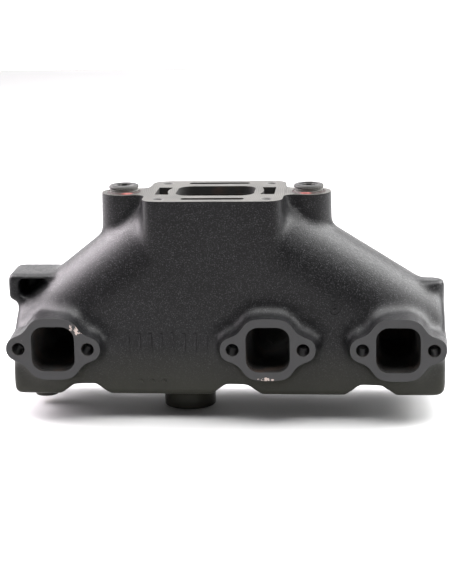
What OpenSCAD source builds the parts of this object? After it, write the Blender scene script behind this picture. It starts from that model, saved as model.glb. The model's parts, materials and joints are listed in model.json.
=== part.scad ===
// Water-jacketed exhaust manifold for one bank of an engine with three side ports.
// X runs along the row of ports, Y from the port faces into the body, Z up.
// The origin is the middle of the middle port, on the plane of the port faces.

/* [Ports] */
// Centre distance from the left port to the middle port
pitch_left = 187; // [184:1:188]
// Centre distance from the middle port to the right port
pitch_right = 111.8; // [110:0.1:114]
// Width of a port opening
port_w = 38; // [34:1:38]
// Height of a port opening
port_h = 40; // [36:1:40]
// Distance between the two bolts of a port
bolt_span = 61; // [61:0.5:62]
// Diameter of a port bolt hole
bolt_d = 11; // [9:0.5:12]
// How far the port faces stand out from the front wall
port_reach = 18; // [16:1:20]

/* [Body] */
// Depth of the body from its front wall to its back wall
body_depth = 102; // [98:1:106]
// Left end of the body
body_left = -225; // [-226:1:-223]
// Right end of the body
body_right = 153.5; // [152:0.5:156]
// Underside of the body
body_floor = -45; // [-48:1:-43]
// Fall of the left arm in degrees
left_slope = 38; // [36:0.5:39]
// Fall of the right arm in degrees
right_slope = 32.2; // [31:0.1:33]
// Thickness of the outer wall
wall = 6; // [5:0.5:7]
// Thickness of the inner wall between gas and water
gas_wall = 4; // [3:0.5:4.5]

/* [Riser] */
// Middle of the riser flange along the port row
riser_x = -48; // [-50:1:-46]
// Height of the machined riser face above the port centres
riser_top = 126.5; // [124:0.5:130]
// Width of the riser
riser_w = 122; // [118:1:126]
// Length of the gas outlet
outlet_w = 69; // [64:1:70]
// Width of the gas outlet
outlet_d = 46; // [40:1:46]
// Stud hole spacing along the port row
stud_span_x = 94; // [92:1:96]
// Stud hole spacing across it
stud_span_y = 76; // [74:1:78]
// Diameter of a tapped stud hole
stud_d = 8; // [7:0.5:9]

/* [Plugs] */
// Distance from the riser's middle to each top plug boss
plug_offset = 82; // [81:0.5:84]
// Diameter of a top plug boss
plug_boss_d = 40; // [38:1:42]
// Diameter of the thread in a top plug boss
plug_d = 26; // [25:0.5:27]
// Pitch of the top plug's thread
plug_pitch = 1.814; // [1.6:0.002:2]
// Hexagon socket in a top plug, across its corners
socket_d = 12.7; // [11:0.1:14]
// Diameter of the thread in the small drain boss
drain_d = 11.2; // [10:0.1:12]
// Pitch of the drain plug's thread
drain_pitch = 1.411; // [1.2:0.001:1.6]
// Diameter of the pressed core plugs
core_d = 31.8; // [28:0.1:32]

/* [Water inlet] */
// Diameter of the inlet boss under the body
inlet_boss_d = 47; // [44:1:50]
// Diameter of its thread
inlet_d = 29.6; // [28:0.1:32]
// Height of the boss below the body
inlet_drop = 24; // [20:1:28]

/* [Hidden] */
$fn = 64;

over = 1;
room = 40;
fit_gap = 0.05;
ports = [-pitch_left, 0, pitch_right];
body_back = port_reach + body_depth;
body_mid = port_reach + body_depth / 2;
arm_r = body_depth / 2;
riser_corner = 12;
stud_depth = 22;
column_r = 9;
column_z = 96;
crest_z = riser_top - 4;
jacket_floor = body_floor + 7;
jacket_roof = riser_top - 14;
arm_run = 420;

port_corner = 11;
flange_half_h = 27.4;
ear_r = 11.4;
ear_depth = 24;
boss_depth = 50;
boss_w = 48;
boss_h = 36;
lobe_w = 22;
runner_w = port_w - 6;
runner_h = port_h - 4;
runner_r = 16;
elbow_z = 20;
elbow_swell = 1.2;
merge_z = 72;
merge_dx = 22;
outlet_corner = 20;
tunnel_r = 10;
tunnel_wall = 4;
rib_wall = 2.5;

notch_x = [-163, -29, 88.5];
notch_w = 45;
notch_top_w = 20;
notch_h = 9.5;

slot_w = 55;
slot_d = 7.5;
water_port_w = 12;
water_port_l = 34;
water_port_x = 46.5;
outlet_land = 8;

inlet_x = -75.5;
inlet_bevel = 3;
drain_x = -208;
drain_boss_d = 22;
drain_drop = 16.5;
core_left = [-100, 22];
core_right = [0, 30];
core_pad = 2;

lug_left = -235;
lug_right = -190;
lug_front = 50;
lug_depth = 39;
lug_top = 54.5;
lug_h = 23.5;
end_boss = [141.4, 66, 47.5];
end_boss_r = 12.4;

pad_step = 0.3;
boss_top = riser_top - pad_step;
plug_boss_z = 70;
plug_hole_z = 92;
mouth_d = 32;
web_z = 90;
web_w = 34;
head_h = 6.5;
head_d = 26.6;
socket_depth = 10.2;
drain_head_h = 1.8;
drain_head_d = 11.4;
plug_left = [riser_x - plug_offset, body_mid, boss_top];
plug_right = [riser_x + plug_offset, body_mid, boss_top];
drain_mouth = [drain_x, body_mid, body_floor - drain_drop];

function side_x(side) = riser_x + side * riser_w / 2;

module rounded(w, h, r) {
    square([w - 2 * r, h], center = true);
    square([w, h - 2 * r], center = true);
    for (x = [-1, 1], y = [-1, 1])
        translate([x * (w / 2 - r), y * (h / 2 - r)])
            circle(r);
}

// Extrudes an outline drawn in X and Z from one depth to another
module along_y(from, to) {
    translate([0, to, 0])
        rotate([90, 0, 0])
            linear_extrude(to - from)
                children();
}

// A wall with a half-round top that falls away from the riser on one side
module arm(side, slope, inset) {
    x0 = side < 0 ? body_left + inset : riser_x - over;
    x1 = side < 0 ? riser_x + over : body_right - inset;
    r = arm_r - inset;
    intersection() {
        translate([x0, 0, body_floor + inset])
            cube([x1 - x0, body_back + room, crest_z - inset - body_floor]);
        translate([side_x(side), body_mid, crest_z])
            rotate([0, side * slope, 0])
                rotate([90, 0, 90])
                    linear_extrude(2 * arm_run, center = true) {
                        translate([0, -arm_r])
                            circle(r);
                        translate([-r, -arm_r - arm_run])
                            square([2 * r, arm_run]);
                    }
    }
}

module riser_block(inset, floor_z, top_z) {
    translate([riser_x, body_mid, floor_z])
        linear_extrude(top_z - floor_z)
            rounded(riser_w - 2 * inset, body_depth - 2 * inset, riser_corner - inset);
}

module body_form() {
    arm(-1, left_slope, 0);
    arm(1, right_slope, 0);
    riser_block(0, body_floor, riser_top);
}

// Outline of a two-bolt port flange
module flange_outline() {
    polygon([
        for (sx = [1, -1], p = [[10, 1], [24, 0.66], [31, 0.41], [31, -0.41], [24, -0.66], [10, -1]])
            [sx * p[0], sx * p[1] * flange_half_h]
    ]);
    for (sx = [-1, 1])
        translate([sx * bolt_span / 2, 0])
            circle(ear_r);
}

module port_bosses() {
    for (x = ports)
        translate([x, 0, 0]) {
            along_y(0, ear_depth)
                flange_outline();
            along_y(0, boss_depth)
                square([boss_w, boss_h], center = true);
            along_y(0, boss_depth)
                square([lobe_w, 2 * flange_half_h - 1], center = true);
        }
}

// Round bosses for the top plugs and the web that ties them to the riser, a hair under its face
module plug_bosses() {
    for (p = [plug_left, plug_right])
        translate([p[0], p[1], plug_boss_z])
            cylinder(d = plug_boss_d, h = boss_top - plug_boss_z);
    translate([riser_x - plug_offset, body_mid - web_w / 2, web_z])
        cube([2 * plug_offset, web_w, boss_top - web_z]);
}

// Bracket at the left end, hollowed from the front down to the arm's slope
module left_lug() {
    difference() {
        translate([lug_left, lug_front, lug_top - lug_h])
            cube([lug_right - lug_left, lug_depth, lug_h]);
        translate([lug_left + 9.5, lug_front - over, lug_top - lug_h - over])
            cube([lug_right - lug_left, 26, lug_h + over - 3]);
    }
}

module lower_bosses() {
    translate([inlet_x, body_mid, body_floor - inlet_drop]) {
        cylinder(d1 = inlet_boss_d - 2 * inlet_bevel, d2 = inlet_boss_d, h = inlet_bevel);
        translate([0, 0, inlet_bevel])
            cylinder(d = inlet_boss_d, h = inlet_drop + 5);
    }
    translate(drain_mouth)
        cylinder(d = drain_boss_d, h = drain_drop + 5);
}

module core_pads() {
    for (c = [core_left, core_right])
        translate([c[0], body_back - 8, c[1]])
            rotate([-90, 0, 0])
                cylinder(d = core_d + 10, h = 8 + core_pad);
}

// Side view of the three runners and the log that gathers them under the outlet
module gas_plan(margin) {
    r = runner_r + margin;
    for (side = [-1, 1]) {
        start = [side < 0 ? ports[0] : ports[2], elbow_z];
        finish = [riser_x + side * merge_dx, merge_z];
        run = finish - start;
        translate(start) {
            circle(r + elbow_swell);
            rotate(atan2(run[1], run[0]))
                translate([0, -r])
                    square([norm(run), 2 * r]);
        }
        translate(finish)
            circle(r + elbow_swell);
    }
    for (x = ports)
        translate([x - r, -runner_h / 2 - margin - 0.5])
            square([2 * r, runner_h / 2 + margin + (x == 0 ? merge_z - 20 : elbow_z)]);
}

// The gas way, or with a margin the shell that keeps water out of it
module gas_way(margin, mouth_y) {
    r = runner_r + margin;
    for (x = ports)
        translate([x, 0, 0]) {
            along_y(mouth_y, ear_depth)
                rounded(port_w + 2 * margin, port_h + 2 * margin, port_corner + margin);
            along_y(ear_depth - over, body_mid - 5)
                rounded(runner_w + 2 * margin, runner_h + 2 * margin, port_corner + margin);
        }
    along_y(body_mid - r, body_mid + r)
        gas_plan(margin);
    translate([riser_x, body_mid, merge_z - runner_r + 2])
        linear_extrude(riser_top + (margin > 0 ? -over : over) - merge_z + runner_r - 2)
            rounded(outlet_w + 2 * margin, outlet_d + 2 * margin, outlet_corner + margin);
}

// Ways for the bolt heads and their socket, from the back wall to the port flanges
module bolt_ways(r, y0, y1) {
    for (x = ports, s = [-1, 1])
        translate([x + s * bolt_span / 2, 0, 0])
            along_y(y0, y1)
                circle(r);
}

module notches(margin) {
    for (x = notch_x)
        translate([x, 0, body_floor])
            along_y(-over, body_back + over)
                polygon([
                    [-notch_w / 2 - margin, -over], [notch_w / 2 + margin, -over],
                    [notch_w / 2 + margin, 0],
                    [notch_top_w / 2 + margin / 2, notch_h + margin],
                    [-notch_top_w / 2 - margin / 2, notch_h + margin],
                    [-notch_w / 2 - margin, 0]
                ]);
}

// The water space: the hollow body less everything that stands in it
module water_jacket() {
    difference() {
        union() {
            arm(-1, left_slope, wall);
            arm(1, right_slope, wall);
            riser_block(wall + 1, jacket_floor, jacket_roof);
        }
        gas_way(gas_wall, 0);
        bolt_ways(tunnel_r + tunnel_wall, 0, body_back + over);
        notches(wall);
        for (sx = [-1, 1], sy = [-1, 1])
            translate([riser_x + sx * stud_span_x / 2, body_mid + sy * stud_span_y / 2, column_z])
                cylinder(r = column_r, h = room);
        translate([body_left - over, 0, body_floor - over])
            cube([body_right - body_left + 10, body_back, wall + 1 + over]);
    }
}

module water_openings() {
    h = riser_top - jacket_roof + 2 * over;
    translate([riser_x, body_mid, jacket_roof - over]) {
        for (sy = [-1, 1])
            translate([0, sy * stud_span_y / 2, 0])
                linear_extrude(h)
                    rounded(slot_w, slot_d, slot_d / 2 - 0.5);
        linear_extrude(h)
            difference() {
                for (sx = [-1, 1])
                    translate([sx * water_port_x, 0])
                        square([water_port_w, water_port_l], center = true);
                rounded(outlet_w + 2 * outlet_land, outlet_d + 2 * outlet_land,
                    outlet_corner + outlet_land);
            }
    }
    for (p = [plug_left, plug_right]) {
        translate([p[0], p[1], plug_hole_z])
            cylinder(d = plug_d, h = boss_top - plug_hole_z + over);
        translate([p[0], p[1], boss_top - 1.5])
            cylinder(d1 = plug_d, d2 = mouth_d, h = 3);
    }
    translate([inlet_x, body_mid, body_floor - inlet_drop - over])
        cylinder(d = inlet_d, h = inlet_drop + 20);
    translate([drain_x, body_mid, drain_mouth[2] - over])
        cylinder(d = drain_d, h = drain_drop + 16);
    for (c = [core_left, core_right])
        translate([c[0], body_back - 12, c[1]])
            rotate([-90, 0, 0])
                cylinder(d = core_d, h = 12 + core_pad + over);
}

module casting() {
    color([0.13, 0.13, 0.13])
        difference() {
            union() {
                body_form();
                port_bosses();
                plug_bosses();
                left_lug();
                lower_bosses();
                core_pads();
                bolt_ways(tunnel_r + rib_wall, ear_depth - over, body_back);
                translate([end_boss[0], end_boss[1], 0])
                    cylinder(r = end_boss_r, h = end_boss[2]);
            }
            water_jacket();
            gas_way(0, -over);
            bolt_ways(tunnel_r, ear_depth, body_back + over);
            for (x = ports, s = [-1, 1])
                translate([x + s * bolt_span / 2, 0, 0])
                    along_y(-over, ear_depth + over)
                        circle(d = bolt_d);
            notches(0);
            water_openings();
            for (sx = [-1, 1], sy = [-1, 1])
                translate([
                    riser_x + sx * stud_span_x / 2, body_mid + sy * stud_span_y / 2, riser_top - stud_depth
                ])
                    cylinder(d = stud_d, h = stud_depth + over);
        }
}

// Threaded plug with ring grooves for its thread, head up, mouth of its hole at the origin
module threaded_plug(d, pitch, grip, head, head_d, socket, deep, sink_d) {
    r = d / 2 - fit_gap;
    turns = floor((grip - 2) / pitch);
    difference() {
        rotate_extrude()
            polygon([
                [0, -grip], [r - 1.5, -grip], [r, -grip + 1.5],
                for (i = [0 : turns - 1], p = [[r, 0], [r - 0.55 * pitch, 0.5], [r, 0.98]])
                    [p[0], -grip + 1.6 + (i + p[1]) * pitch],
                [r, 0], [head_d / 2, 0.4], [head_d / 2, head - 1.2],
                [head_d / 2 - 1.2, head], [0, head]
            ]);
        translate([0, 0, head - deep])
            cylinder(d = socket, h = deep + over, $fn = 6);
        translate([0, 0, head - 0.8])
            cylinder(d1 = sink_d - 1.6, d2 = sink_d + 1.6, h = 1.6);
    }
}

module top_plug(place, sink_d) {
    color([0.2, 0.2, 0.2])
        translate(place)
            threaded_plug(plug_d, plug_pitch, 22, head_h, head_d, socket_d, socket_depth, sink_d);
}

// Bead of cured thread sealant squeezed out around a plug
module bead(inner_d, width, height) {
    rotate_extrude()
        polygon([
            [inner_d / 2 + fit_gap, fit_gap], [inner_d / 2 + width, fit_gap],
            [inner_d / 2 + width - 0.4, height * 0.7],
            [inner_d / 2 + width * 0.5, height], [inner_d / 2 + fit_gap, height]
        ]);
}

module sealant(place) {
    color([0.45, 0.12, 0.12])
        translate(place)
            bead(head_d, 3.6, 1.6);
}

module drain_plug() {
    color([0.72, 0.55, 0.3])
        translate(drain_mouth)
            rotate([180, 0, 0])
                threaded_plug(drain_d, drain_pitch, 12, drain_head_h, drain_head_d, 6.2, 5, 6.6);
}

module drain_sealant() {
    color([0.45, 0.12, 0.12])
        translate(drain_mouth)
            rotate([180, 0, 0])
                bead(drain_head_d, 1.8, 0.9);
}

// Pressed steel cup that closes a hole left by the foundry's core
module core_plug(c) {
    color([0.6, 0.58, 0.5])
        translate([c[0], body_back + core_pad - 1, c[1]])
            rotate([90, 0, 0])
                rotate_extrude()
                    polygon([
                        [0, 5], [core_d / 2 - 3.5, 5], [core_d / 2 - 1.8, 3.5], [core_d / 2 - 1.8, 0],
                        [core_d / 2 + fit_gap, 0], [core_d / 2 + fit_gap, 5], [core_d / 2 - 1.5, 6.8],
                        [0, 6.8]
                    ]);
}

casting();
top_plug(plug_left, 13);  // top_plug_left
top_plug(plug_right, 17);  // top_plug_right
sealant(plug_left);  // sealant_left
sealant(plug_right);  // sealant_right
drain_plug();
drain_sealant();
core_plug(core_left);  // core_plug_left
core_plug(core_right);  // core_plug_right
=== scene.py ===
import json
import math

import bmesh
import bpy
from mathutils import Matrix, Vector, noise
from mathutils.bvhtree import BVHTree


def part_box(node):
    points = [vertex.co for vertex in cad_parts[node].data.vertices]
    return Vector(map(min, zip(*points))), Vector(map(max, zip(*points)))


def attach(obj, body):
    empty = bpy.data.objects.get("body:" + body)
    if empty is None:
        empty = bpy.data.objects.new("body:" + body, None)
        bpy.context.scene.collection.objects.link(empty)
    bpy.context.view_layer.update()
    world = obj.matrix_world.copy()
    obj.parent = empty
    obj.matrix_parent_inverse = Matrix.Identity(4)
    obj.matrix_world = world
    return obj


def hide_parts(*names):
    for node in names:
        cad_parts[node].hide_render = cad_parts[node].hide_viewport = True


# The frame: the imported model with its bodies, mounts and joints. Everything
# below is in its metres, with the origin in the middle of the middle port.
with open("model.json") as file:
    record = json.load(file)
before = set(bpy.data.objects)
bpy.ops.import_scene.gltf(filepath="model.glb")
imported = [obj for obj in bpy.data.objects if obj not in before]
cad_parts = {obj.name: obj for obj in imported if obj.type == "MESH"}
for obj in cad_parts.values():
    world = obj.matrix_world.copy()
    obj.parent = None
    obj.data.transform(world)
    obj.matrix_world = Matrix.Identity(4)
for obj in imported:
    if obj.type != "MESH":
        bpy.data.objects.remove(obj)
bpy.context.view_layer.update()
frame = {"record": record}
cad_low, cad_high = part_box("casting")

# The camera stands a little to the right of the casting and above it, level
# with nothing, the way a product is held up to a long lens.
camera_data = bpy.data.cameras.new("camera")
camera_data.lens = 95.93
camera_data.sensor_width = 36.0
camera = bpy.data.objects.new("camera", camera_data)
bpy.context.scene.collection.objects.link(camera)
look = (
    Matrix.Rotation(math.radians(5.17), 4, "Z")
    @ Matrix.Rotation(math.radians(90 - 14.1), 4, "X")
    @ Matrix.Rotation(math.radians(-1.2), 4, "Z")
)
camera.matrix_world = Matrix.Translation((0.0812, -1.2814, 0.3748)) @ look
bpy.context.scene.camera = camera

# The floor is a pale matt sheet just under the lowest boss.
floor_mesh = bpy.data.meshes.new("floor")
floor_bm = bmesh.new()
bmesh.ops.create_grid(floor_bm, x_segments=1, y_segments=1, size=6)
bmesh.ops.translate(floor_bm, vec=(0, 2, cad_low.z - 0.0005), verts=floor_bm.verts)
floor_bm.to_mesh(floor_mesh)
floor_bm.free()
floor = bpy.data.objects.new("floor", floor_mesh)
bpy.context.scene.collection.objects.link(floor)
floor_paint = bpy.data.materials.new("floor_paper")
floor_paint.use_nodes = True
floor_shader = floor_paint.node_tree.nodes["Principled BSDF"]
floor_shader.inputs["Base Color"].default_value = (0.43, 0.43, 0.43, 1)
floor_shader.inputs["Roughness"].default_value = 0.9
floor_mesh.materials.append(floor_paint)

# Soft studio light: two broad panels high at the back draw the sheen along the
# sloping arms, two lower ones at the sides light the ends, and one hangs overhead.
bpy.context.scene.view_settings.view_transform = "Standard"
world = bpy.data.worlds.new("studio")
world.use_nodes = True
world.node_tree.nodes["Background"].inputs["Color"].default_value = (1, 1, 1, 1)
world.node_tree.nodes["Background"].inputs["Strength"].default_value = 0.22
bpy.context.scene.world = world


def add_panel(name, place, aim, size, power, tint=(1, 1, 1)):
    """A square soft light that faces a point."""
    data = bpy.data.lights.new(name, "AREA")
    data.shape = "RECTANGLE"
    data.size, data.size_y = size
    data.energy = power
    data.color = tint
    lamp = bpy.data.objects.new(name, data)
    lamp.location = place
    lamp.rotation_euler = (Vector(aim) - Vector(place)).to_track_quat("-Z", "Y").to_euler()
    bpy.context.scene.collection.objects.link(lamp)


add_panel("right_panel", (1.5, 1.0, 1.5), (0.05, 0.07, 0), (1.5, 1.5), 95)
add_panel("left_panel", (-1.6, 0.9, 1.4), (-0.1, 0.07, 0), (1.4, 1.4), 85, (1.0, 0.93, 0.98))
add_panel("right_low_panel", (1.7, 0.1, 0.8), (0.1, 0.06, 0.02), (1.2, 1.2), 42)
add_panel("left_low_panel", (-1.7, 0.3, 0.75), (-0.2, 0.06, 0.02), (1.2, 1.2), 55, (1.0, 0.93, 0.98))
add_panel("top_panel", (0.0, -0.05, 1.8), (0, 0.05, 0), (2.2, 1.7), 112)

# A white card stands well behind it and lights the backs of the arms.
card_mesh = bpy.data.meshes.new("backdrop")
card_bm = bmesh.new()
bmesh.ops.create_grid(card_bm, x_segments=1, y_segments=1, size=3.5)
stand_up = Matrix.Rotation(math.radians(90), 3, "X")
bmesh.ops.rotate(card_bm, cent=(0, 0, 0), matrix=stand_up, verts=card_bm.verts)
bmesh.ops.translate(card_bm, vec=(0, 3.0, 3.3), verts=card_bm.verts)
card_bm.to_mesh(card_mesh)
card_bm.free()
card = bpy.data.objects.new("backdrop", card_mesh)
bpy.context.scene.collection.objects.link(card)
card_glow = bpy.data.materials.new("white_card")
card_glow.use_nodes = True
card_shader = card_glow.node_tree.nodes["Principled BSDF"]
card_shader.inputs["Base Color"].default_value = (0.9, 0.9, 0.9, 1)
card_shader.inputs["Emission Color"].default_value = (1, 1, 1, 1)
card_shader.inputs["Emission Strength"].default_value = 0.80
card_mesh.materials.append(card_glow)

# The casting: one iron pour with the port flanges, sloping arms, riser, plug
# bosses, lug and lower bosses all in it. Its forms are melted together on a
# fine grid, which gives every inside corner a cast fillet, and then machined.
mounts = {m["name"]: m for m in frame["record"]["mounts"]}
port_places = [Vector(mounts[f"port_{n}_bolts"]["pos_m"]) for n in ("left", "middle", "right")]
riser_place = Vector(mounts["riser_studs"]["pos_m"])
inlet_place = Vector(mounts["water_inlet"]["pos_m"])
wall_front = 0.018
wall_back = cad_high.y - 0.002
depth = wall_back - wall_front
middle_y = (wall_front + wall_back) / 2
body_left, body_right, body_floor = -0.2280, 0.1535, -0.0470
riser_half = 0.061
riser_top = riser_place.z
boss_top = riser_top - 0.0003
crest = riser_top - 0.004
grid = 0.0020
stock = 0.006


def prism(outline, length, taper=1.0):
    """A closed prism over an outline in X and Y, from z = 0 up, tapering as drawn."""
    bm = bmesh.new()
    face = bm.faces.new([bm.verts.new((x, y, 0)) for x, y in outline])
    moved = bmesh.ops.extrude_face_region(bm, geom=[face], use_keep_orig=True)["geom"]
    far = [v for v in moved if isinstance(v, bmesh.types.BMVert)]
    bmesh.ops.scale(bm, vec=(taper, taper, 1), verts=far)
    bmesh.ops.translate(bm, vec=(0, 0, length), verts=far)
    bmesh.ops.recalc_face_normals(bm, faces=bm.faces)
    return bm


def round_edges(bm, radius, chosen, segments=4):
    """Rounds the edges that a test on the edge picks out."""
    edges = [e for e in bm.edges if chosen(e)]
    bmesh.ops.bevel(
        bm, geom=edges, offset=radius, segments=segments, profile=0.5,
        affect="EDGES", material=-1, clamp_overlap=True,
    )
    return bm


def bar(low, high, radius=0.0, along=None):
    """A box between two corners, its edges rounded all round or along one axis."""
    bm = bmesh.new()
    bmesh.ops.create_cube(bm, size=1)
    size = Vector(high) - Vector(low)
    bmesh.ops.scale(bm, vec=size, verts=bm.verts)
    bmesh.ops.translate(bm, vec=(Vector(high) + Vector(low)) / 2, verts=bm.verts)
    if radius:
        def chosen(e):
            run = e.verts[0].co - e.verts[1].co
            return along is None or abs(run[along]) > 0.8 * run.length
        round_edges(bm, radius, chosen, 6)
    return bm


def peg(place, axis, radius, length, end_radius=None, segments=48):
    """A round peg from a place along an axis, tapering to its far end if asked."""
    bm = bmesh.new()
    bmesh.ops.create_cone(
        bm, cap_ends=True, segments=segments, radius1=radius,
        radius2=radius if end_radius is None else end_radius, depth=length,
    )
    turn = Vector((0, 0, 1)).rotation_difference(Vector(axis)).to_matrix().to_4x4()
    shift = Matrix.Translation(Vector(place) + Vector(axis) * length / 2)
    bmesh.ops.transform(bm, matrix=shift @ turn, verts=bm.verts)
    return bm


def lay_along_y(bm, start):
    """Turns a prism drawn in X and Y so that it stands in X and Z and runs along Y."""
    turn = Matrix.Rotation(math.radians(90), 4, "X")
    flip = Matrix.Scale(-1, 4, (0, 1, 0))
    bmesh.ops.transform(bm, matrix=Matrix.Translation(start) @ flip @ turn, verts=bm.verts)
    bmesh.ops.recalc_face_normals(bm, faces=bm.faces)
    return bm


def cut_flat(bm, point, normal):
    """Cuts away what lies past a plane and closes the cut."""
    cut = bmesh.ops.bisect_plane(
        bm, geom=bm.verts[:] + bm.edges[:] + bm.faces[:], plane_co=point,
        plane_no=normal, clear_outer=True,
    )["geom_cut"]
    bmesh.ops.contextual_create(bm, geom=[g for g in cut if isinstance(g, bmesh.types.BMEdge)])
    bmesh.ops.recalc_face_normals(bm, faces=bm.faces)
    return bm


def gather(name, forms):
    """One mesh object from several closed forms."""
    mesh = bpy.data.meshes.new(name)
    whole = bmesh.new()
    for form in forms:
        part = bpy.data.meshes.new("part")
        form.to_mesh(part)
        form.free()
        whole.from_mesh(part)
        bpy.data.meshes.remove(part)
    whole.to_mesh(mesh)
    whole.free()
    made = bpy.data.objects.new(name, mesh)
    bpy.context.scene.collection.objects.link(made)
    return made


def finish_modifiers(piece):
    """Applies a piece's modifiers to its mesh."""
    bpy.context.view_layer.update()
    seen = piece.evaluated_get(bpy.context.evaluated_depsgraph_get())
    mesh = bpy.data.meshes.new_from_object(seen)
    old = piece.data
    piece.modifiers.clear()
    piece.data = mesh
    bpy.data.meshes.remove(old)


def melt(piece, voxel):
    """Melts overlapping forms into one skin on a grid."""
    step = piece.modifiers.new("melt", "REMESH")
    step.mode = "VOXEL"
    step.voxel_size = voxel
    step.adaptivity = 0.0
    finish_modifiers(piece)


def swell(piece, distance):
    """Moves the whole skin out, or in."""
    step = piece.modifiers.new("swell", "DISPLACE")
    step.direction = "NORMAL"
    step.mid_level = 0.0
    step.strength = distance
    finish_modifiers(piece)


def fillet(piece, radius, voxel):
    """Gives every inside corner a fillet: the skin goes out and comes back."""
    swell(piece, radius)
    melt(piece, voxel)
    swell(piece, -radius)
    melt(piece, voxel)


def ease(piece, rounds, strength=0.5):
    """Eases the skin, which takes the stair steps out of it."""
    bm = bmesh.new()
    bm.from_mesh(piece.data)
    for _ in range(rounds):
        bmesh.ops.smooth_vert(
            bm, verts=bm.verts, factor=strength, use_axis_x=True, use_axis_y=True, use_axis_z=True,
        )
    bm.to_mesh(piece.data)
    bm.free()


def carve(piece, tool, operation="DIFFERENCE"):
    """Cuts a closed tool out of a closed piece."""
    step = piece.modifiers.new("carve", "BOOLEAN")
    step.operation = operation
    step.object = tool
    step.solver = "MANIFOLD"
    finish_modifiers(piece)
    spent = tool.data
    bpy.data.objects.remove(tool)
    bpy.data.meshes.remove(spent)


def arm(side, fall, inset=0.0):
    """A wall with a half-round top that falls away from the riser on one side."""
    radius = depth / 2 - inset
    steps = [math.radians(a) for a in range(0, 181, 5)]
    outline = [(radius * math.cos(a), radius * math.sin(a) - depth / 2) for a in steps]
    outline += [(-radius, -0.4), (radius, -0.4)]
    bm = prism(outline, 0.6)
    run = Matrix(((0, 0, 1, 0), (1, 0, 0, 0), (0, 1, 0, 0), (0, 0, 0, 1)))
    place = Matrix.Translation((riser_place.x + side * riser_half, middle_y, crest))
    tilt = Matrix.Rotation(side * math.radians(fall), 4, "Y")
    back = Matrix.Translation((-0.3, 0, 0))
    bmesh.ops.transform(bm, matrix=place @ tilt @ back @ run, verts=bm.verts)
    bmesh.ops.recalc_face_normals(bm, faces=bm.faces)
    end = (body_left + inset) if side < 0 else (body_right - inset)
    cut_flat(bm, (end, 0, 0), (side, 0, 0))
    cut_flat(bm, (riser_place.x - side * 0.002, 0, 0), (-side, 0, 0))
    cut_flat(bm, (0, 0, body_floor + inset), (0, 0, -1))
    cut_flat(bm, (0, 0, crest - inset), (0, 0, 1))
    if inset == 0:
        corner = 0.006 if side > 0 else 0.005
        round_edges(bm, corner, lambda e: all(abs(v.co.x - end) < 1e-5 for v in e.verts))
    return bm


def round_rectangle(half_x, half_y, corner, steps=6):
    """The outline of a rectangle with round corners, centred on the origin."""
    outline = []
    for k, (sx, sy) in enumerate(((1, 1), (-1, 1), (-1, -1), (1, -1))):
        for step in range(steps + 1):
            turn = math.radians(90 * (k + step / steps))
            outline.append((sx * (half_x - corner) + corner * math.cos(turn),
                            sy * (half_y - corner) + corner * math.sin(turn)))
    return outline


def port_boss(place):
    """A port flange's boss: a round-cornered pad with two ears that spreads into the wall."""
    pad = prism(round_rectangle(0.0238, 0.0277, 0.0155), 0.030, 1.03)
    forms = [lay_along_y(pad, place + Vector((0, -stock, 0)))]
    for side in (-1, 1):
        ear = place + Vector((side * 0.0305, -stock, 0))
        forms.append(peg(ear, (0, 1, 0), 0.0114, 0.028, 0.0122))
    neck = prism([(-0.031, -0.0095), (0.031, -0.0095), (0.031, 0.0095), (-0.031, 0.0095)], 0.028)
    forms.append(lay_along_y(neck, place + Vector((0, -stock, 0))))
    return forms


left_fall, right_fall = 38.0, 32.2
trunk = [arm(-1, left_fall), arm(1, right_fall)]
trunk.append(bar(
    (riser_place.x - riser_half, wall_front, body_floor + 0.004),
    (riser_place.x + riser_half, wall_back, riser_top + stock), 0.012, 2,
))
for place in port_places:
    trunk += port_boss(place)
casting = gather("manifold_casting", trunk)
melt(casting, grid)
fillet(casting, 0.0075, grid)

# The lesser bosses go on next, with a tighter fillet: two round ones and their
# web for the top plugs, ribs over the bolt tunnels, the bracket lug, the inlet
# and drain bosses underneath, pads for the core plugs and a stub on the right.
plug_spots = [Vector((riser_place.x + side * 0.082, middle_y, boss_top)) for side in (-1, 1)]
bolt_spots = [place + Vector((side * 0.0305, 0, 0)) for place in port_places for side in (-1, 1)]
drain_spot = Vector((-0.208, middle_y, -0.0615))
core_spots = [Vector((-0.1, 0.122, 0.022)), Vector((0.0, 0.122, 0.030))]
up, down, inward = Vector((0, 0, 1)), Vector((0, 0, -1)), Vector((0, 1, 0))


def add_forms(piece, forms):
    """Lays more closed forms over a piece, ready to be melted in."""
    extra = gather("extra", forms)
    bm = bmesh.new()
    bm.from_mesh(piece.data)
    bm.from_mesh(extra.data)
    bm.to_mesh(piece.data)
    bm.free()
    spent = extra.data
    bpy.data.objects.remove(extra)
    bpy.data.meshes.remove(spent)


bosses = []
for spot in plug_spots:
    foot = Vector((spot.x, spot.y, 0.062))
    bosses.append(peg(foot, up, 0.0212, boss_top + stock - 0.062, 0.0199))
bosses.append(bar(
    (plug_spots[0].x, middle_y - 0.017, 0.088), (plug_spots[1].x, middle_y + 0.017, boss_top + stock),
))
for spot in bolt_spots:
    bosses.append(peg(spot + Vector((0, 0.02, 0)), inward, 0.0125, wall_back - 0.0215))
bosses.append(bar((-0.2349, 0.0475, 0.0312), (-0.190, 0.0960, 0.0550), 0.0025))
bosses.append(peg(inlet_place - down * 0.026, down, 0.0236, 0.0262 + stock, 0.0234))
bosses.append(peg(drain_spot - down * 0.020, down, 0.0114, 0.020 + stock, 0.0109))
for spot in core_spots:
    bosses.append(peg(spot - inward * 0.010, inward, 0.0212, 0.010 + stock, 0.0206))
bosses.append(peg(Vector((0.1414, 0.066, 0.0)), up, 0.0124, 0.0473))
add_forms(casting, bosses)
melt(casting, grid)
fillet(casting, 0.0035, grid)

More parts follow.
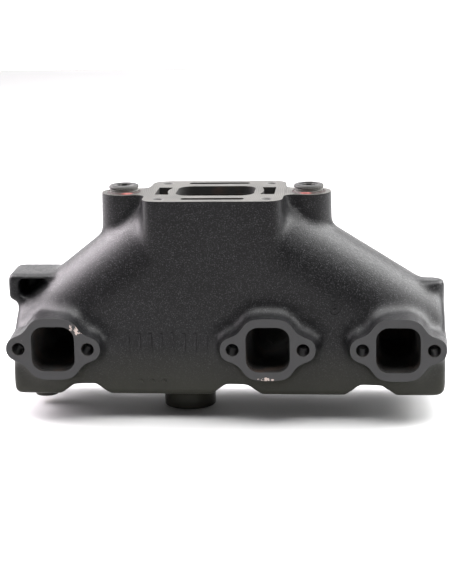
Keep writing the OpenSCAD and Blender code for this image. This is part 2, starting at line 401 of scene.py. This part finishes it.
# Three notches across the underside clear the pipework below. They are cast,
# so they are cut before the skin is eased.
notches = []
for x in (-0.163, -0.029, 0.0885):
    outline = [(-0.0235, -0.004), (0.0235, -0.004), (0.0225, 0.0), (0.010, 0.0095), (-0.010, 0.0095),
               (-0.0225, 0.0)]
    notch = prism(outline, 0.16)
    notches.append(lay_along_y(notch, Vector((x, -0.01, body_floor))))
carve(casting, gather("notches", notches))

# The lug is hollow at the front, so that it is no thicker than the other walls.
lug_pocket = gather("lug_pocket", [bar((-0.2245, 0.030, 0.0350), (-0.190, 0.0800, 0.0508), 0.001)])
carve(lug_pocket, gather("arm_guard", [arm(-1, left_fall, 0.0)]))
carve(casting, lug_pocket)
melt(casting, grid)
ease(casting, 3, 0.5)

# The skin as it stands is kept, to tell the painted outside from the cored inside.
skin = BVHTree.FromPolygons(
    [v.co.copy() for v in casting.data.vertices],
    [tuple(face.vertices) for face in casting.data.polygons],
)

# Inside, the gas way gathers the three ports under the outlet, and the water
# space fills what is left between it and the outer wall. Both come from cores,
# so both have soft corners.
runner = 0.016
gas_wall = 0.004
outer_wall = 0.006
gather_z = 0.072
elbow_z = 0.020
tunnel = 0.010


def lane(start, finish, radius):
    """A round-ended lane between two places in X and Z, the width of a runner deep."""
    a, b = Vector((start[0], start[1], 0)), Vector((finish[0], finish[1], 0))
    heading = math.atan2(b.y - a.y, b.x - a.x)
    turns = [math.radians(k) for k in range(-90, 91, 15)]
    outline = [b + radius * Vector((math.cos(heading + t), math.sin(heading + t), 0)) for t in turns]
    outline += [a - radius * Vector((math.cos(heading + t), math.sin(heading + t), 0)) for t in turns]
    bm = prism([(v.x, v.y) for v in outline], 2 * radius)
    return lay_along_y(bm, Vector((0, middle_y - radius, 0)))


def gas_core(name, margin):
    """The gas way, grown by a margin to stand for its wall."""
    radius = runner + margin
    forms = []
    for place in port_places:
        mouth = Vector((0.0191 + margin, 0.013, 0.0201 + margin))
        front = place + Vector((0, 0.012, 0))
        forms.append(bar(front - mouth, front + mouth, 0.0105, 1))
        way = Vector((radius, 0.025, 0.018 + margin))
        back = place + Vector((0, 0.045, 0))
        forms.append(bar(back - way, back + way, 0.011, 1))
    left, middle, right = (place.x for place in port_places)
    meeting = [(riser_place.x - 0.022, gather_z), (riser_place.x + 0.022, gather_z)]
    forms.append(lane((left, -0.002), (left, elbow_z), radius))
    forms.append(lane((right, -0.002), (right, elbow_z), radius))
    forms.append(lane((left, elbow_z), meeting[0], radius))
    forms.append(lane((right, elbow_z), meeting[1], radius))
    forms.append(lane((middle, -0.002), (middle, 0.058), radius))
    half = Vector((0.0347 + margin, 0.0232 + margin, 0))
    forms.append(bar(
        Vector((riser_place.x, middle_y, gather_z - runner - margin + 0.002)) - half,
        Vector((riser_place.x, middle_y, riser_top - 0.003)) + half, 0.0130, 2,
    ))
    core = gather(name, forms)
    melt(core, 0.0036)
    ease(core, 4, 0.5)
    return core


jacket_roof = riser_top - 0.014
jacket_floor = body_floor + 0.0165
water = gather("water_core", [
    cut_flat(arm(-1, left_fall, outer_wall), (0, 0, jacket_floor), (0, 0, -1)),
    cut_flat(arm(1, right_fall, outer_wall), (0, 0, jacket_floor), (0, 0, -1)),
    bar(
        (riser_place.x - riser_half + 0.007, wall_front + 0.007, jacket_floor),
        (riser_place.x + riser_half - 0.007, wall_back - 0.007, jacket_roof), 0.006, 2,
    ),
])
melt(water, 0.0046)
ease(water, 2, 0.5)
carve(water, gas_core("gas_wall", gas_wall))
carve(water, gather("rib_cores", [
    peg(spot, inward, tunnel + gas_wall, 0.13, None, 24) for spot in bolt_spots
]))
stud_spots = [
    riser_place + Vector((sx * 0.047, sy * 0.038, 0)) for sx in (-1, 1) for sy in (-1, 1)
]
carve(water, gather("stud_columns", [
    peg(Vector((spot.x, spot.y, 0.096)), up, 0.009, 0.04, None, 24) for spot in stud_spots
]))
carve(casting, water)
carve(casting, gas_core("gas_core", 0.0))

# Machining. The riser face is milled, then the boss and web faces a hair under
# it, the port faces, the two bosses below and the pads at the back. The mouths
# of the ports and the outlet are cut square to their faces.
reach = 0.3
flats = [((-reach, -0.1, riser_top), (reach, 0.2, riser_top + 0.02))]
for side in (-1, 1):
    near, far = sorted((riser_place.x + side * (riser_half + 0.0006), side * reach))
    flats.append(((near, -0.1, boss_top), (far, 0.2, riser_top + 0.001)))
flats.append(((-reach, -0.02, -0.1), (reach, 0.0, 0.1)))
flats.append(((-reach, wall_back + 0.002, -0.1), (reach, 0.15, 0.1)))
flats.append(((inlet_place.x - 0.04, 0.03, -0.09), (inlet_place.x + 0.04, 0.11, inlet_place.z)))
flats.append(((drain_spot.x - 0.02, 0.04, -0.09), (drain_spot.x + 0.02, 0.10, drain_spot.z)))
for low, high in flats:
    carve(casting, gather("flat", [bar(low, high)]))


def holes(name, spots, axis, radius, depth, end_radius=None):
    """Drills a round hole of one size at each spot, from just outside the face inwards."""
    run = Vector(axis)
    tools = [peg(spot - run * 0.001, axis, radius, depth + 0.001, end_radius) for spot in spots]
    carve(casting, gather(name, tools))


carve(casting, gather("port_mouths", [
    bar(place + Vector((-0.019, -0.001, -0.020)), place + Vector((0.019, 0.006, 0.020)), 0.011, 1)
    for place in port_places
]))
carve(casting, gather("outlet_mouth", [bar(
    (riser_place.x - 0.0345, middle_y - 0.023, riser_top - 0.007),
    (riser_place.x + 0.0345, middle_y + 0.023, riser_top + 0.001), 0.0125, 2,
)]))
carve(casting, gather("water_slots", [
    bar((riser_place.x - 0.0275, middle_y + side * 0.038 - 0.00375, jacket_roof - 0.003),
        (riser_place.x + 0.0275, middle_y + side * 0.038 + 0.00375, riser_top + 0.001), 0.0034, 2)
    for side in (-1, 1)
]))
side_water = gather("side_water", [
    bar((riser_place.x + side * 0.0465 - 0.006, middle_y - 0.017, jacket_roof - 0.003),
        (riser_place.x + side * 0.0465 + 0.006, middle_y + 0.017, riser_top + 0.001), 0.001, 2)
    for side in (-1, 1)
])
carve(side_water, gather("outlet_land", [bar(
    (riser_place.x - 0.0425, middle_y - 0.031, jacket_roof - 0.01),
    (riser_place.x + 0.0425, middle_y + 0.031, riser_top + 0.01), 0.028, 2,
)]))
carve(casting, side_water)
holes("bolt_tunnels", [spot + inward * 0.123 for spot in bolt_spots], -inward, tunnel, 0.099)
holes("bolt_holes", bolt_spots, inward, 0.0055, 0.026)
holes("bolt_bevels", bolt_spots, inward, 0.0066, 0.0004, 0.0054)
holes("stud_holes", stud_spots, down, 0.0040, 0.022)
holes("stud_bevels", stud_spots, down, 0.0059, 0.0008, 0.0041)
holes("plug_holes", plug_spots, down, 0.0130, boss_top - 0.092)
holes("plug_bevels", plug_spots, down, 0.0165, 0.0015, 0.0134)
holes("inlet_hole", [inlet_place], up, 0.0148, 0.044)
holes("inlet_bevel", [inlet_place], up, 0.0178, 0.0015, 0.0150)
holes("drain_hole", [drain_spot], up, 0.0056, 0.036)
holes("drain_bevel", [drain_spot], up, 0.0072, 0.0008, 0.0057)
holes("core_holes", core_spots, -inward, 0.0159, 0.014)

# Raised foundry marks stand on the front wall: a row of tally bars, three dots
# and a plain dial, all cut into the pattern and so part of the pour.
mark_height = 0.0009


def raised(outline, at_x, at_z):
    """A low raised pad on the front wall over an outline in X and Z."""
    pad = prism(outline, 0.0020 + mark_height, 0.94)
    bmesh.ops.rotate(pad, cent=(0, 0, 0), matrix=stand_up, verts=pad.verts)
    bmesh.ops.translate(pad, vec=(at_x, wall_front + 0.0020, at_z), verts=pad.verts)
    return pad


def circle_points(radius, count=20):
    """The outline of a circle, centred on the origin."""
    turns = [math.tau * k / count for k in range(count)]
    return [(radius * math.cos(turn), radius * math.sin(turn)) for turn in turns]


marks = []
for k in range(8):
    tall = 0.0085 if k % 4 else 0.0095
    bar_outline = [(-0.0014, -tall), (0.0014, -tall), (0.0014, tall), (-0.0014, tall)]
    marks.append(raised(bar_outline, -0.1235 + 0.0098 * k, 0.0015))
for k in range(3):
    marks.append(raised(circle_points(0.0022), -0.1135 + 0.0105 * k, -0.0345))
dial = gather("dial", [raised(circle_points(0.0066, 32), 0.0575, 0.0320)])
carve(dial, gather("dial_inside", [peg(Vector((0.0575, 0.010, 0.0320)), inward, 0.0050, 0.012)]))
dial_form = bmesh.new()
dial_form.from_mesh(dial.data)
bpy.data.objects.remove(dial)
marks.append(dial_form)
hand_outline = [(-0.0007, -0.0004), (0.0007, -0.0004), (0.0007, 0.0046), (-0.0007, 0.0046)]
marks.append(raised(hand_outline, 0.0575, 0.0320))
marks.append(raised(circle_points(0.0013), 0.0575, 0.0320))
carve(casting, gather("marks", marks), "UNION")


def smooth(piece, angle=35):
    """Shades a piece smooth, with its corners kept crisp."""
    mesh = piece.data
    mesh.polygons.foreach_set("use_smooth", [True] * len(mesh.polygons))
    mesh.set_sharp_from_angle(angle=math.radians(angle))


smooth(casting)


class Finish:
    """A material on the principled shader, with short calls for its nodes."""

    def __init__(self, name, metallic=0.0, roughness=0.5):
        self.material = bpy.data.materials.new(name)
        self.material.use_nodes = True
        self.tree = self.material.node_tree
        self.shader = self.tree.nodes["Principled BSDF"]
        self.shader.inputs["Metallic"].default_value = metallic
        self.shader.inputs["Roughness"].default_value = roughness
        self.place = self.tree.nodes.new("ShaderNodeTexCoord").outputs["Object"]

    def join(self, source, target):
        self.tree.links.new(source, target)

    def noise(self, scale, detail=2.0, roughness=0.5):
        """Cloudy or grainy noise; scale is in cells to the metre."""
        node = self.tree.nodes.new("ShaderNodeTexNoise")
        node.inputs["Scale"].default_value = scale
        node.inputs["Detail"].default_value = detail
        node.inputs["Roughness"].default_value = roughness
        self.join(self.place, node.inputs["Vector"])
        return node.outputs["Fac"]

    def steps(self, source, low, high, dark=0.0, light=1.0):
        """Maps a value from one range to another, and holds it at the ends."""
        node = self.tree.nodes.new("ShaderNodeMapRange")
        for name, value in (("From Min", low), ("From Max", high), ("To Min", dark), ("To Max", light)):
            node.inputs[name].default_value = value
        self.join(source, node.inputs["Value"])
        return node.outputs["Result"]

    def blend(self, factor, one, two):
        """Mixes two colours, each a colour or another node's output."""
        node = self.tree.nodes.new("ShaderNodeMix")
        node.data_type = "RGBA"
        self.join(factor, node.inputs["Factor"])
        for socket, colour in ((node.inputs[6], one), (node.inputs[7], two)):
            if isinstance(colour, tuple):
                socket.default_value = (*colour, 1)
            else:
                self.join(colour, socket)
        return node.outputs[2]

    def bump(self, layers):
        """Bumps from several heights, each a value with its depth in metres."""
        normal = None
        for height, depth in layers:
            node = self.tree.nodes.new("ShaderNodeBump")
            node.inputs["Strength"].default_value = 1.0
            node.inputs["Distance"].default_value = depth
            self.join(height, node.inputs["Height"])
            if normal:
                self.join(normal, node.inputs["Normal"])
            normal = node.outputs["Normal"]
        self.join(normal, self.shader.inputs["Normal"])

    def colour(self, source):
        self.join(source, self.shader.inputs["Base Color"])

    def rough(self, source):
        self.join(source, self.shader.inputs["Roughness"])

    def axis(self, name):
        node = self.tree.nodes.new("ShaderNodeSeparateXYZ")
        self.join(self.place, node.inputs["Vector"])
        return node.outputs[name]

    def worn(self, low, high):
        """How far a place is out on an edge, from the bend of the mesh."""
        return self.steps(self.tree.nodes.new("ShaderNodeNewGeometry").outputs["Pointiness"], low, high)


# The paint is a satin black over sand-cast iron: every grain of the mould shows
# in it as a fine pebbled skin, a little thin on the edges, and pale flecks painted
# into its colour stand for the glints of light off those grains.
paint = Finish("satin_paint_on_cast_iron", 0.0, 0.40)
paint.shader.inputs["Specular IOR Level"].default_value = 0.20
grain, coarse, cloud = paint.noise(1150, 1.5, 0.7), paint.noise(330, 3.0, 0.6), paint.noise(16, 3.0)
body_colour = paint.blend(paint.steps(cloud, 0.35, 0.68), (0.0022, 0.0022, 0.0025), (0.0050, 0.0050, 0.0055))
# Painted highlights: pale flecks in the colour where the fine grain noise runs high, standing for glints.
painted_glints = paint.steps(grain, 0.56, 0.68)
body_colour = paint.blend(painted_glints, body_colour, (0.040, 0.040, 0.042))
# Painted reflection: the wall is painted lighter and olive towards the bottom, standing for the pale floor
# seen in it.
painted_floor_reflection = paint.steps(paint.axis("Z"), 0.000, -0.045)
body_colour = paint.blend(painted_floor_reflection, body_colour, (0.022, 0.022, 0.016))
paint.colour(body_colour)
paint.rough(paint.steps(coarse, 0.3, 0.7, 0.32, 0.46))
paint.bump([(coarse, 0.00010), (grain, 0.00015)])

# Milled faces are bare grey iron with the cutter's faint arcs and the pores of
# the casting.
milled = Finish("milled_iron", 0.6, 0.42)
milled.shader.inputs["Specular IOR Level"].default_value = 0.25
arcs = milled.tree.nodes.new("ShaderNodeTexWave")
arcs.wave_type = "RINGS"
arcs.rings_direction = "Z"
arcs.inputs["Scale"].default_value = 190
arcs.inputs["Distortion"].default_value = 0.6
arcs_place = milled.tree.nodes.new("ShaderNodeMapping")
arcs_place.inputs["Location"].default_value = (0.30, -0.05, 0)
milled.join(milled.place, arcs_place.inputs["Vector"])
milled.join(arcs_place.outputs["Vector"], arcs.inputs["Vector"])
milled_cloud, pores = milled.noise(35, 4.0), milled.noise(420, 2.0)
milled_patches = milled.steps(milled_cloud, 0.3, 0.7)
milled_colour = milled.blend(milled_patches, (0.052, 0.0505, 0.046), (0.080, 0.0775, 0.0705))
milled_colour = milled.blend(milled.steps(pores, 0.70, 0.76), milled_colour, (0.10, 0.095, 0.09))
milled.colour(milled_colour)
milled.rough(milled.steps(arcs.outputs["Fac"], 0.0, 1.0, 0.44, 0.56))
milled.bump([(arcs.outputs["Fac"], 0.00002)])

# The port faces were milled and then painted with the rest, so they are flat
# and dull, with pale chips where they have been knocked.
flat_paint = Finish("painted_port_face", 0.0, 0.5)
face_cloud, chips = flat_paint.noise(40, 3.0), flat_paint.noise(330, 3.0, 0.6)
face_patches = flat_paint.steps(face_cloud, 0.3, 0.7)
face_colour = flat_paint.blend(face_patches, (0.0120, 0.0120, 0.0128), (0.0230, 0.0230, 0.0240))
face_colour = flat_paint.blend(flat_paint.steps(chips, 0.735, 0.76), face_colour, (0.30, 0.25, 0.21))
for place, wide, high in ((port_places[0] + Vector((0.0212, 0, 0.0188)), 110, 110),
                          (port_places[1] + Vector((-0.0013, 0, -0.0262)), 95, 420)):
    spot_place = flat_paint.tree.nodes.new("ShaderNodeVectorMath")
    spot_place.operation = "SUBTRACT"
    spot_place.inputs[1].default_value = place
    flat_paint.join(flat_paint.place, spot_place.inputs[0])
    stretched = flat_paint.tree.nodes.new("ShaderNodeVectorMath")
    stretched.operation = "MULTIPLY"
    stretched.inputs[1].default_value = (wide, 0, high)
    flat_paint.join(spot_place.outputs["Vector"], stretched.inputs[0])
    span = flat_paint.tree.nodes.new("ShaderNodeVectorMath")
    span.operation = "LENGTH"
    flat_paint.join(stretched.outputs["Vector"], span.inputs[0])
    inside_spot = flat_paint.steps(span.outputs["Value"], 1.0, 0.5, 0.0, 0.28)
    broken = flat_paint.tree.nodes.new("ShaderNodeMath")
    broken.operation = "ADD"
    flat_paint.join(inside_spot, broken.inputs[0])
    flat_paint.join(chips, broken.inputs[1])
    bare = flat_paint.steps(broken.outputs["Value"], 0.76, 0.79)
    face_colour = flat_paint.blend(bare, face_colour, (0.46, 0.38, 0.34))
flat_paint.colour(face_colour)
flat_paint.rough(flat_paint.steps(face_cloud, 0.3, 0.7, 0.42, 0.58))
flat_paint.bump([(flat_paint.noise(900, 2.0), 0.00003)])

# Cored insides are rough and sooty with a bloom of rust, and drilled holes are
# bright where the drill ran.
inside = Finish("sooty_core_wall", 0.0, 0.92)
rust = inside.steps(inside.noise(60, 4.0), 0.5, 0.72)
inside_colour = inside.blend(rust, (0.006, 0.0055, 0.005), (0.024, 0.013, 0.008))
inside.colour(inside_colour)
inside.bump([(inside.noise(380, 3.0), 0.0004)])
drilled = Finish("drilled_iron", 0.5, 0.45)
rings = drilled.noise(900, 2.0)
drilled.colour(drilled.blend(drilled.steps(rings, 0.3, 0.7), (0.022, 0.0215, 0.021), (0.060, 0.058, 0.056)))
drilled.bump([(rings, 0.00004)])

finishes = [paint, milled, flat_paint, inside, drilled]
casting.data.materials.clear()
for finish in finishes:
    casting.data.materials.append(finish.material)
PAINT, MILLED, FACE, INSIDE, DRILLED = range(5)


def near_axis(point, spots, axis, radius, shallow, deep):
    """True if a point lies in the bore that starts at one of the spots."""
    for spot in spots:
        run = (point - spot).dot(axis)
        off = (point - spot) - axis * run
        if shallow <= run <= deep and off.length < radius:
            return True
    return False


def finish_of(face):
    """The finish that a face of the casting was left with."""
    at, way = face.center, face.normal
    if way.z > 0.98 and at.z > boss_top - 0.0001:
        return MILLED
    if way.y < -0.98 and at.y < 0.0002:
        return FACE
    if near_axis(at, bolt_spots, inward, 0.0068, 0.0009, 0.0245):
        return DRILLED
    if near_axis(at, stud_spots, down, 0.0052, 0.0001, 0.024):
        return DRILLED
    if near_axis(at, plug_spots, down, 0.0155, 0.0001, 0.036):
        return DRILLED
    if near_axis(at, [inlet_place], up, 0.0172, 0.0001, 0.050):
        return DRILLED
    if near_axis(at, [drain_spot], up, 0.0070, 0.0001, 0.040):
        return DRILLED
    if way.z < -0.98 and at.z < body_floor - 0.004:
        return MILLED
    if near_axis(at, core_spots, -inward, 0.0162, 0.0001, 0.016):
        return DRILLED
    if way.y > 0.98 and at.y > wall_back + 0.0015:
        return PAINT
    return INSIDE if skin.find_nearest(at)[3] > 0.0014 else PAINT


casting.data.polygons.foreach_set("material_index", [finish_of(face) for face in casting.data.polygons])
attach(casting, "casting")
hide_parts("casting")


# The top plugs: phosphated steel pipe plugs, turned from bar with a thread all
# the way up and a hexagon socket. The right one has a wide sink round its socket.
plug_pitch = 0.001814


def turned(profile, segments=72):
    """A solid turned about Z from its half profile, which starts and ends on the axis."""
    bm = bmesh.new()
    points = [bm.verts.new((radius, 0, height)) for radius, height in profile]
    edges = [bm.edges.new(pair) for pair in zip(points, points[1:])]
    bmesh.ops.spin(
        bm, geom=points + edges, cent=(0, 0, 0), axis=(0, 0, 1), angle=math.tau,
        steps=segments, use_merge=True, use_duplicate=False,
    )
    bmesh.ops.remove_doubles(bm, verts=bm.verts, dist=1e-6)
    bmesh.ops.recalc_face_normals(bm, faces=bm.faces)
    return bm


def thread(root, tip, lead, start, turns, segments=36):
    """A helical ridge with a flat crest, from a root radius to a tip radius."""
    bm = bmesh.new()
    section = ((root, 0.06), (tip, 0.40), (tip, 0.60), (root, 0.94))
    face = bm.faces.new([bm.verts.new((radius, 0, start + lead * at)) for radius, at in section])
    steps = round(turns * segments)
    bmesh.ops.spin(
        bm, geom=[face], cent=(0, 0, 0), axis=(0, 0, 1), angle=math.tau * steps / segments,
        dvec=(0, 0, lead / segments), steps=steps, use_merge=False, use_duplicate=False,
    )
    bmesh.ops.recalc_face_normals(bm, faces=bm.faces)
    return bm


def hexagon(across, low, high):
    """A hexagon prism about Z, measured across its corners."""
    outline = [(across / 2 * math.cos(math.radians(60 * k)), across / 2 * math.sin(math.radians(60 * k)))
               for k in range(6)]
    bm = prism(outline, high - low)
    bmesh.ops.translate(bm, vec=(0, 0, low), verts=bm.verts)
    return bm


def place_mesh(piece, shift, flip=False):
    """Puts a piece's place in its mesh, upside down if asked."""
    turn = Matrix.Rotation(math.pi, 4, "X") if flip else Matrix.Identity(4)
    piece.data.transform(Matrix.Translation(shift) @ turn)


def pipe_plug(name, profile, ridge, socket):
    """A threaded plug: a turned body, its thread and a hexagon socket."""
    plug = gather(name, [turned(profile)])
    carve(plug, gather("ridge", [thread(*ridge)]), "UNION")
    carve(plug, gather("socket", [hexagon(*socket)]))
    plug.data.materials.clear()
    smooth(plug, 40)
    return plug


phosphate = Finish("black_phosphate_steel", 0.0, 0.45)
phosphate_cloud, phosphate_wear = phosphate.noise(160, 3.0), phosphate.noise(900, 2.0)
phosphate_patches = phosphate.steps(phosphate_cloud, 0.35, 0.65)
phosphate_colour = phosphate.blend(phosphate_patches, (0.016, 0.016, 0.017), (0.034, 0.033, 0.032))
phosphate_colour = phosphate.blend(phosphate.worn(0.53, 0.60), phosphate_colour, (0.11, 0.107, 0.10))
phosphate.colour(phosphate_colour)
phosphate.rough(phosphate.steps(phosphate_wear, 0.3, 0.7, 0.40, 0.56))
phosphate.shader.inputs["Specular IOR Level"].default_value = 0.12
phosphate.bump([(phosphate_wear, 0.00003)])

for side, spot in zip(("left", "right"), plug_spots):
    sink, sunk = (0.0072, 0.0005) if side == "left" else (0.0084, 0.0011)
    profile = [
        (0, -0.0218), (0.0112, -0.0218), (0.0120, -0.0208), (0.0120, 0.0034), (0.0132, 0.0041),
        (0.0132, 0.0050), (0.0129, 0.0058), (0.0121, 0.0063), (0.0112, 0.0065),
        (sink, 0.0065), (sink - 0.0006, 0.0065 - sunk), (0, 0.0065 - sunk),
    ]
    plug = pipe_plug(f"pipe_plug_{side}", profile, (0.0118, 0.0129, plug_pitch, -0.0212, 13.0),
                     (0.0127, -0.0037, 0.0080))
    place_mesh(plug, spot)
    plug.data.materials.append(phosphate.material)
    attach(plug, f"top_plug_{side}")
    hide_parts(f"top_plug_{side}")

# Thread sealant: the wet film that was squeezed out round each plug, dark where
# it is thin and brick red where a lump was left standing at the front.
sealant = Finish("cured_red_sealant", 0.0, 0.5)
sealant.shader.inputs["Specular IOR Level"].default_value = 0.2
sealant_height = sealant.noise(420, 2.0)


def sealant_bead(name, inner, outer, height, lump_at, seed):
    """An uneven bead round a plug, thickest towards one bearing."""
    bm = bmesh.new()
    middle, half = (inner + outer) / 2, (outer - inner) / 2
    section = [(inner, 0.00006), (outer, 0.00006), (outer - half * 0.3, height * 0.55),
               (middle, height), (inner + half * 0.3, height * 0.85)]
    face = bm.faces.new([bm.verts.new((radius, 0, z)) for radius, z in section])
    bmesh.ops.spin(
        bm, geom=[face], cent=(0, 0, 0), axis=(0, 0, 1), angle=math.tau, steps=96,
        use_merge=True, use_duplicate=False,
    )
    bmesh.ops.delete(bm, geom=[f for f in bm.faces if len(f.verts) > 4], context="FACES_ONLY")
    bmesh.ops.remove_doubles(bm, verts=bm.verts, dist=1e-6)
    bmesh.ops.recalc_face_normals(bm, faces=bm.faces)
    for v in bm.verts:
        bearing = math.atan2(v.co.y, v.co.x)
        lump = max(0.0, math.cos(bearing - lump_at)) ** 12
        wave = 0.5 + 0.5 * noise.noise(Vector((3 * math.cos(bearing), 3 * math.sin(bearing), seed)))
        radius = math.hypot(v.co.x, v.co.y)
        spread = (radius - inner) / (outer - inner)
        grown = inner + (outer - inner) * spread * (0.30 + 0.25 * wave + 0.45 * lump)
        v.co.x, v.co.y = grown * math.cos(bearing), grown * math.sin(bearing)
        v.co.z *= 0.45 + 0.25 * wave + 0.30 * lump
    bead = gather(name, [bm])
    smooth(bead, 60)
    return bead


for side, spot, bearing, seed in zip(("left", "right"), plug_spots, (-1.25, -1.72), (1.7, 6.3)):
    bead = sealant_bead(f"sealant_bead_{side}", 0.01325, 0.0168, 0.00155, bearing, seed)
    place_mesh(bead, spot)
    bead.data.materials.append(sealant.material)
    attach(bead, f"sealant_{side}")
    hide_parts(f"sealant_{side}")

# Only the lump has its full colour: the film darkens with its distance from it.
thick = None
for spot, bearing in zip(plug_spots, (-1.25, -1.72)):
    lump_place = spot + 0.0150 * Vector((math.cos(bearing), math.sin(bearing), 0))
    gap = sealant.tree.nodes.new("ShaderNodeVectorMath")
    gap.operation = "DISTANCE"
    gap.inputs[1].default_value = lump_place
    sealant.join(sealant.place, gap.inputs[0])
    near = sealant.steps(gap.outputs["Value"], 0.0060, 0.0030)
    if thick:
        both = sealant.tree.nodes.new("ShaderNodeMath")
        both.operation = "MAXIMUM"
        sealant.join(thick, both.inputs[0])
        sealant.join(near, both.inputs[1])
        near = both.outputs["Value"]
    thick = near
sealant_patches = sealant.steps(sealant_height, 0.35, 0.65)
sealant_red = sealant.blend(sealant_patches, (0.115, 0.026, 0.023), (0.200, 0.060, 0.054))
sealant.colour(sealant.blend(thick, (0.028, 0.016, 0.015), sealant_red))
sealant.bump([(sealant_height, 0.00012)])

# The drain plug under the left end is a small brass pipe plug. It goes in from
# below with its own bead of the same sealant.
brass = Finish("dull_brass", 1.0, 0.32)
brass_cloud = brass.noise(260, 3.0)
brass.colour(brass.blend(brass.steps(brass_cloud, 0.35, 0.65), (0.42, 0.27, 0.10), (0.62, 0.45, 0.20)))
brass.rough(brass.steps(brass.noise(900, 2.0), 0.3, 0.7, 0.26, 0.44))
drain_profile = [
    (0, -0.0118), (0.0046, -0.0118), (0.0051, -0.0112), (0.0051, 0.0001), (0.00565, 0.0004),
    (0.00565, 0.0012), (0.0053, 0.0017), (0.0048, 0.0018), (0.0034, 0.0018), (0.0032, 0.0016), (0, 0.0016),
]
drain_plug = pipe_plug("brass_drain_plug", drain_profile, (0.0050, 0.0055, 0.001411, -0.0113, 7.6),
                       (0.0062, -0.0032, 0.0030))
place_mesh(drain_plug, drain_spot, True)
drain_plug.data.materials.append(brass.material)
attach(drain_plug, "drain_plug")
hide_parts("drain_plug")
drain_bead = sealant_bead("sealant_bead_drain", 0.0057, 0.0075, 0.00085, 0.6, 3.1)
place_mesh(drain_bead, drain_spot, True)
drain_bead.data.materials.append(sealant.material)
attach(drain_bead, "drain_sealant")
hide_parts("drain_sealant")

# Core plugs: pressed steel cups, open to the back, driven into the holes that
# the core's prints left, and painted over with the casting.
cup_finish = Finish("painted_pressed_steel", 0.35, 0.40)
cup_grain = cup_finish.noise(500, 3.0)
cup_patches = cup_finish.steps(cup_grain, 0.4, 0.7)
cup_colour = cup_finish.blend(cup_patches, (0.016, 0.016, 0.017), (0.034, 0.034, 0.035))
cup_colour = cup_finish.blend(cup_finish.worn(0.53, 0.58), cup_colour, (0.32, 0.31, 0.27))
cup_finish.colour(cup_colour)
cup_finish.bump([(cup_grain, 0.00006)])
for side, spot in zip(("left", "right"), core_spots):
    cup_profile = [
        (0, -0.0066), (0.0143, -0.0066), (0.0153, -0.0062), (0.0158, -0.0054), (0.01592, 0.0),
        (0.0152, 0.0), (0.0143, -0.0006), (0.0141, -0.0034), (0.0135, -0.0044), (0.0122, -0.0049),
        (0.0060, -0.0044), (0, -0.0041),
    ]
    cup = gather(f"core_cup_{side}", [turned(cup_profile)])
    cup.data.transform(Matrix.Rotation(math.radians(-90), 4, "X"))
    cup.data.transform(Matrix.Translation(spot - inward * 0.001))
    smooth(cup, 40)
    cup.data.materials.append(cup_finish.material)
    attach(cup, "casting")
    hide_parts(f"core_plug_{side}")

# The stud holes and the water inlet are tapped in the casting's own iron, each
# with a helix of its thread standing in the hole.
tapped = []
for spot in stud_spots:
    helix = thread(0.00415, 0.00350, 0.0015875, -0.0205, 12.0, 24)
    bmesh.ops.translate(helix, vec=spot, verts=helix.verts)
    tapped.append(helix)
inlet_helix = thread(0.0150, 0.0139, 0.002209, -0.0240, 9.8, 48)
turn_over = Matrix.Rotation(math.pi, 3, "X")
bmesh.ops.rotate(inlet_helix, cent=(0, 0, 0), matrix=turn_over, verts=inlet_helix.verts)
bmesh.ops.translate(inlet_helix, vec=inlet_place, verts=inlet_helix.verts)
tapped.append(inlet_helix)
threads = gather("tapped_threads", tapped)
smooth(threads, 40)
threads.data.materials.append(drilled.material)
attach(threads, "casting")
